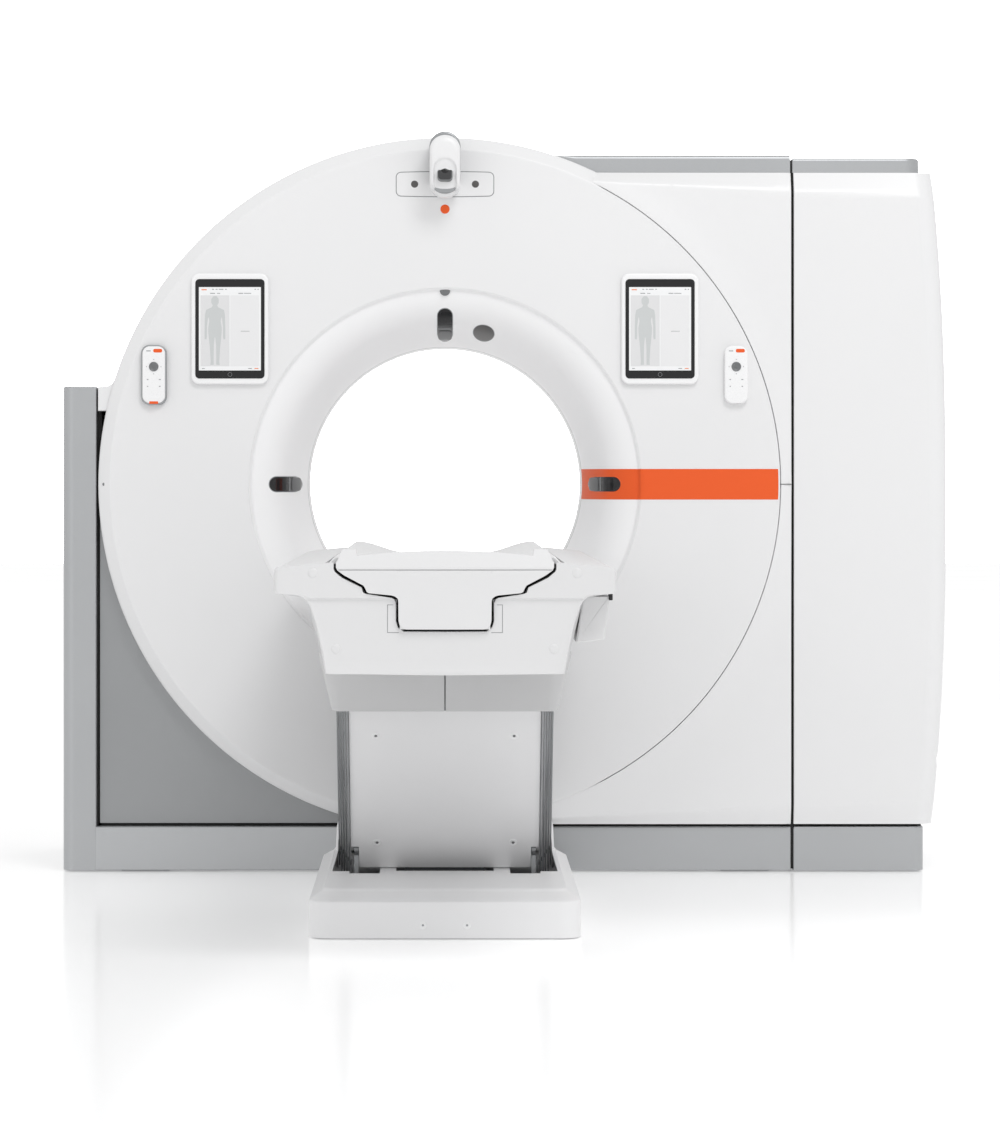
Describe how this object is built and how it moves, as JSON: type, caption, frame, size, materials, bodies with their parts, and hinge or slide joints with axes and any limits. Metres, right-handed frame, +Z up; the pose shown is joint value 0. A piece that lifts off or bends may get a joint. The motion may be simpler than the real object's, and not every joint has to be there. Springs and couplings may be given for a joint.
{
  "type": "ct scanner",
  "caption": "Ring-shaped scanner gantry with a right-hand service housing, and a height-adjustable patient table whose cradle slides into the bore.",
  "frame": {"origin": "on the floor, centre of the gantry's anchor bolt pattern, straight below the isocentre", "axes": "+X to the right seen from the table, +Y from the table into the bore, +Z up"},
  "size_m": [2.206, 3.004, 1.8375],
  "materials": {
    "white_cover": "satin moulded cover",
    "mouth_white": "satin moulded cover",
    "table_white": "satin moulded cover",
    "silver_cover": "fine metallic lacquer",
    "black_glass": "glossy window",
    "liner_plastic": "thin clear-grey film tube",
    "bare_steel": "ground steel",
    "bare_aluminium": "machined",
    "dark_metal": "dark satin coating",
    "frame_paint": "grey powder coat",
    "black_plastic": "moulded",
    "contact_brass": "polished tracks",
    "grey_key": "soft-touch key",
    "cradle_shell": "clear-coated composite"
  },
  "bodies": {
    "scanner_base": {"front_cover": "white_cover", "mouth_windows": "black_glass", "front_mouth_ring": "mouth_white", "rear_mouth_ring": "mouth_white", "bore_liner": "liner_plastic", "column_and_base_cover": "silver_cover", "right_base_cover": "silver_cover", "lower_left_panel": "silver_cover", "top_cover": "silver_cover", "right_top_cap": "silver_cover", "upper_shroud": "white_cover", "right_side_cover": "white_cover", "rear_cover": "white_cover", "gantry_base_frame": "frame_paint", "levelling_feet": "bare_steel", "stator_frame": "frame_paint", "bearing_outer_ring": "bare_steel", "brush_block": "black_plastic", "control_cabinet": "frame_paint", "fan_housing": "black_plastic", "sensor_plate": "white_cover", "camera_head": "white_cover", "tablet_trays": "white_cover", "tablets": "black_glass", "remote_controls": "white_cover", "table_base_cover": "table_white", "table_floor_frame": "frame_paint", "lift_gear_motor": "dark_metal"},
    "rotor": {"rotor_drum": "bare_aluminium", "bearing_inner_ring": "bare_steel", "slip_ring": "contact_brass", "xray_tube": "bare_steel", "collimator": "bare_steel", "tube_cooler": "bare_aluminium", "hv_generator": "frame_paint", "data_module": "frame_paint", "detector_arc": "bare_aluminium", "balance_weights": "bare_steel"},
    "fan": {"cooling_fan": "black_plastic"},
    "key_left": {"remote_key_left": "grey_key"},
    "key_right": {"remote_key_right": "grey_key"},
    "front_arm": {"front_arm_frame": "frame_paint", "lift_cover_plate": "table_white"},
    "rear_arm": {"rear_arm_frame": "frame_paint"},
    "table": {"table_chassis": "bare_aluminium", "guide_rails": "bare_steel", "feed_rack": "bare_steel", "table_side_cover_left": "table_white", "table_side_cover_right": "table_white", "table_end_cover": "table_white", "lower_shroud_left": "table_white", "lower_shroud_right": "table_white"},
    "cradle": {"cradle_board": "cradle_shell", "cradle_end_cap": "table_white", "cradle_keel": "table_white"},
    "slats_1": {"side_slats_1": "dark_metal"},
    "slats_2": {"side_slats_2": "dark_metal"},
    "slats_3": {"side_slats_3": "dark_metal"},
    "slats_4": {"side_slats_4": "dark_metal"},
    "slats_5": {"side_slats_5": "dark_metal"}
  },
  "joints": [
    {"name": "rotor_spin", "type": "hinge", "parent": "scanner_base", "child": "rotor", "pos_m": [0, 0, 0.967], "axis": [0, 1, 0], "continuous": true},
    {"name": "fan_spin", "type": "hinge", "parent": "scanner_base", "child": "fan", "pos_m": [1.0365, 0.35, 1.44], "axis": [0, 1, 0], "continuous": true},
    {"name": "left_key_press", "type": "slide", "parent": "scanner_base", "child": "key_left", "axis": [0, 1, 0], "range_m": [0, 0.0015], "stiffness_N_per_m": 400, "springref_m": -0.001},
    {"name": "right_key_press", "type": "slide", "parent": "scanner_base", "child": "key_right", "axis": [0, 1, 0], "range_m": [0, 0.0015], "stiffness_N_per_m": 400, "springref_m": -0.001},
    {"name": "table_lift", "type": "hinge", "parent": "scanner_base", "child": "front_arm", "pos_m": [0, -1.4, 0.145], "axis": [-1, 0, 0], "range_deg": [-32, 10]},
    {"name": "table_level", "type": "hinge", "parent": "front_arm", "child": "table", "pos_m": [0, -1.7212, 0.60372], "axis": [-1, 0, 0], "range_deg": [-10, 32]},
    {"name": "rear_arm_swing", "type": "hinge", "parent": "scanner_base", "child": "rear_arm", "pos_m": [0, -0.7, 0.145], "axis": [-1, 0, 0], "range_deg": [-32, 10]},
    {"name": "cradle_slide", "type": "slide", "parent": "table", "child": "cradle", "axis": [0, 1, 0], "range_m": [0, 1.6]},
    {"name": "slats_1_swing", "type": "hinge", "parent": "scanner_base", "child": "slats_1", "pos_m": [0, -1.36, 0.11], "axis": [-1, 0, 0], "range_deg": [-32, 10]},
    {"name": "slats_2_swing", "type": "hinge", "parent": "scanner_base", "child": "slats_2", "pos_m": [0, -1.262, 0.11], "axis": [-1, 0, 0], "range_deg": [-32, 10]},
    {"name": "slats_3_swing", "type": "hinge", "parent": "scanner_base", "child": "slats_3", "pos_m": [0, -1.164, 0.11], "axis": [-1, 0, 0], "range_deg": [-32, 10]},
    {"name": "slats_4_swing", "type": "hinge", "parent": "scanner_base", "child": "slats_4", "pos_m": [0, -1.066, 0.11], "axis": [-1, 0, 0], "range_deg": [-32, 10]},
    {"name": "slats_5_swing", "type": "hinge", "parent": "scanner_base", "child": "slats_5", "pos_m": [0, -0.968, 0.11], "axis": [-1, 0, 0], "range_deg": [-32, 10]}
  ],
  "couplings": [
    {"joint": "table_level", "follows": "table_lift", "ratio": -1},
    {"joint": "rear_arm_swing", "follows": "table_lift", "ratio": 1},
    {"joint": "slats_1_swing", "follows": "table_lift", "ratio": 1},
    {"joint": "slats_2_swing", "follows": "table_lift", "ratio": 1},
    {"joint": "slats_3_swing", "follows": "table_lift", "ratio": 1},
    {"joint": "slats_4_swing", "follows": "table_lift", "ratio": 1},
    {"joint": "slats_5_swing", "follows": "table_lift", "ratio": 1}
  ]
}
